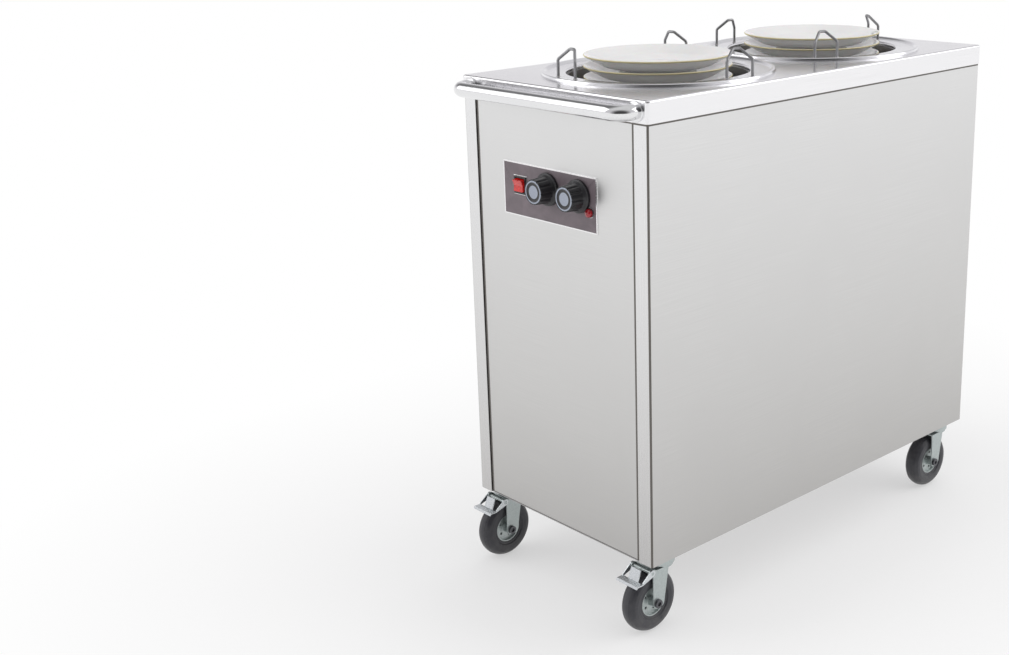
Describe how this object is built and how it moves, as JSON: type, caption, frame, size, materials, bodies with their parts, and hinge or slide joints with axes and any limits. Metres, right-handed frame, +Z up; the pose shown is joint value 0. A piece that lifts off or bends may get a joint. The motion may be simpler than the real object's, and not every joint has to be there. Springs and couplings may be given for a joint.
{
  "type": "plate dispenser cart",
  "caption": "Heated stainless cart on swivel casters; round spring-loaded wells under one lid hold stacks of plates level with the top, with a push handle and thermostat dials.",
  "frame": {"origin": "on the floor, under the middle of the cart's outline, handle and gland included", "axes": "+Z up; -Y towards the operator's end with the handle and controls; +X across the cart, to the operator's right"},
  "size_m": [0.45, 0.9555, 0.9455],
  "materials": {
    "brushed_sheet": "fine brushed stainless sheet, soft sheen",
    "lid_sheet": "bright, nearly mirror-polished stainless sheet",
    "polished_tube": "mirror-polished stainless tube",
    "ring_steel": "spun stainless with fine concentric marks",
    "wire_steel": "dull drawn wire",
    "inner_steel": "plain mill-finish sheet",
    "zinc_plate": "clear zinc-plated pressing, slightly mottled",
    "fastener_steel": "dark steel fastener",
    "spring_steel": "bright spring wire",
    "glazed_china": "white glazed china with a thin gold line at the rim",
    "nylon": "natural nylon",
    "control_face": "satin mauve-grey enamel",
    "black_plastic": "black moulded phenolic, satin",
    "cap_metal": "spun bright cap",
    "red_plastic": "translucent red moulding",
    "grey_rubber": "charcoal rubber, dull",
    "heater_metal": "heat-tinted steel"
  },
  "bodies": {
    "cabinet": {"lid": "lid_sheet", "side_panel_right": "brushed_sheet", "side_panel_left": "brushed_sheet", "front_panel": "brushed_sheet", "rear_panel": "brushed_sheet", "base_pan": "inner_steel", "chassis_frame": "inner_steel", "caster_heads": "zinc_plate", "caster_mount_bolts": "fastener_steel", "handle_tube": "polished_tube", "handle_flanges": "polished_tube", "handle_screws": "fastener_steel", "spring_hangers": "inner_steel", "heating_elements": "heater_metal", "heater_stands": "inner_steel", "thermostats": "black_plastic", "control_plate": "control_face", "switch_housing": "black_plastic", "lamp_bezel": "black_plastic", "lamp_lens": "red_plastic", "cable_gland": "black_plastic", "well_ring_front": "ring_steel", "well_can_front": "inner_steel", "plate_guides_front": "wire_steel", "well_ring_rear": "ring_steel", "well_can_rear": "inner_steel", "plate_guides_rear": "wire_steel"},
    "carrier_front": {"carrier_plate_front": "inner_steel", "carrier_yoke_front": "inner_steel", "carrier_glides_front": "nylon", "springs_front": "spring_steel"},
    "stack_front": {"plates_front": "glazed_china"},
    "dial_front": {"knob_front": "black_plastic", "knob_cap_front": "cap_metal"},
    "carrier_rear": {"carrier_plate_rear": "inner_steel", "carrier_yoke_rear": "inner_steel", "carrier_glides_rear": "nylon", "springs_rear": "spring_steel"},
    "stack_rear": {"plates_rear": "glazed_china"},
    "dial_rear": {"knob_rear": "black_plastic", "knob_cap_rear": "cap_metal"},
    "rocker": {"switch_rocker": "red_plastic"},
    "fork_front_right": {"caster_fork_front_right": "zinc_plate", "caster_axle_front_right": "fastener_steel"},
    "wheel_front_right": {"caster_tyre_front_right": "grey_rubber", "caster_hub_front_right": "zinc_plate"},
    "pedal_front_right": {"brake_pedal_front_right": "zinc_plate"},
    "fork_front_left": {"caster_fork_front_left": "zinc_plate", "caster_axle_front_left": "fastener_steel"},
    "wheel_front_left": {"caster_tyre_front_left": "grey_rubber", "caster_hub_front_left": "zinc_plate"},
    "pedal_front_left": {"brake_pedal_front_left": "zinc_plate"},
    "fork_rear_right": {"caster_fork_rear_right": "zinc_plate", "caster_axle_rear_right": "fastener_steel"},
    "wheel_rear_right": {"caster_tyre_rear_right": "grey_rubber", "caster_hub_rear_right": "zinc_plate"},
    "fork_rear_left": {"caster_fork_rear_left": "zinc_plate", "caster_axle_rear_left": "fastener_steel"},
    "wheel_rear_left": {"caster_tyre_rear_left": "grey_rubber", "caster_hub_rear_left": "zinc_plate"}
  },
  "joints": [
    {"name": "carrier_travel_front", "type": "slide", "parent": "cabinet", "child": "carrier_front", "axis": [0, 0, 1], "range_m": [-0.42, 0.038], "stiffness_N_per_m": 442, "springref_m": 0.1144, "deforming": ["springs_front"]},
    {"name": "stack_lift_front", "type": "slide", "parent": "carrier_front", "child": "stack_front", "axis": [0, 0, 1], "range_m": [0, 0.12]},
    {"name": "dial_turn_front", "type": "hinge", "parent": "cabinet", "child": "dial_front", "pos_m": [-0.0095, -0.43025, 0.726], "axis": [0, 1, 0], "range_deg": [0, 270]},
    {"name": "carrier_travel_rear", "type": "slide", "parent": "cabinet", "child": "carrier_rear", "axis": [0, 0, 1], "range_m": [-0.42, 0.038], "stiffness_N_per_m": 442, "springref_m": 0.1144, "deforming": ["springs_rear"]},
    {"name": "stack_lift_rear", "type": "slide", "parent": "carrier_rear", "child": "stack_rear", "axis": [0, 0, 1], "range_m": [0, 0.12]},
    {"name": "dial_turn_rear", "type": "hinge", "parent": "cabinet", "child": "dial_rear", "pos_m": [0.065, -0.43025, 0.726], "axis": [0, 1, 0], "range_deg": [0, 270]},
    {"name": "rocker_tilt", "type": "hinge", "parent": "cabinet", "child": "rocker", "pos_m": [-0.08, -0.43145, 0.7225], "axis": [1, 0, 0], "range_deg": [-16, 0]},
    {"name": "swivel_front_right", "type": "hinge", "parent": "cabinet", "child": "fork_front_right", "pos_m": [0.19, -0.38225, 0.1145], "axis": [0, 0, 1], "continuous": true},
    {"name": "wheel_spin_front_right", "type": "hinge", "parent": "fork_front_right", "child": "wheel_front_right", "pos_m": [0.19, -0.40725, 0.054], "axis": [1, 0, 0], "continuous": true},
    {"name": "brake_front_right", "type": "hinge", "parent": "fork_front_right", "child": "pedal_front_right", "pos_m": [0.19, -0.42025, 0.1135], "axis": [1, 0, 0], "range_deg": [0, 7]},
    {"name": "swivel_front_left", "type": "hinge", "parent": "cabinet", "child": "fork_front_left", "pos_m": [-0.19, -0.38225, 0.1145], "axis": [0, 0, 1], "continuous": true},
    {"name": "wheel_spin_front_left", "type": "hinge", "parent": "fork_front_left", "child": "wheel_front_left", "pos_m": [-0.19, -0.40725, 0.054], "axis": [1, 0, 0], "continuous": true},
    {"name": "brake_front_left", "type": "hinge", "parent": "fork_front_left", "child": "pedal_front_left", "pos_m": [-0.19, -0.42025, 0.1135], "axis": [1, 0, 0], "range_deg": [0, 7]},
    {"name": "swivel_rear_right", "type": "hinge", "parent": "cabinet", "child": "fork_rear_right", "pos_m": [0.19, 0.41775, 0.1145], "axis": [0, 0, 1], "continuous": true},
    {"name": "wheel_spin_rear_right", "type": "hinge", "parent": "fork_rear_right", "child": "wheel_rear_right", "pos_m": [0.19, 0.39275, 0.054], "axis": [1, 0, 0], "continuous": true},
    {"name": "swivel_rear_left", "type": "hinge", "parent": "cabinet", "child": "fork_rear_left", "pos_m": [-0.19, 0.41775, 0.1145], "axis": [0, 0, 1], "continuous": true},
    {"name": "wheel_spin_rear_left", "type": "hinge", "parent": "fork_rear_left", "child": "wheel_rear_left", "pos_m": [-0.19, 0.39275, 0.054], "axis": [1, 0, 0], "continuous": true}
  ]
}
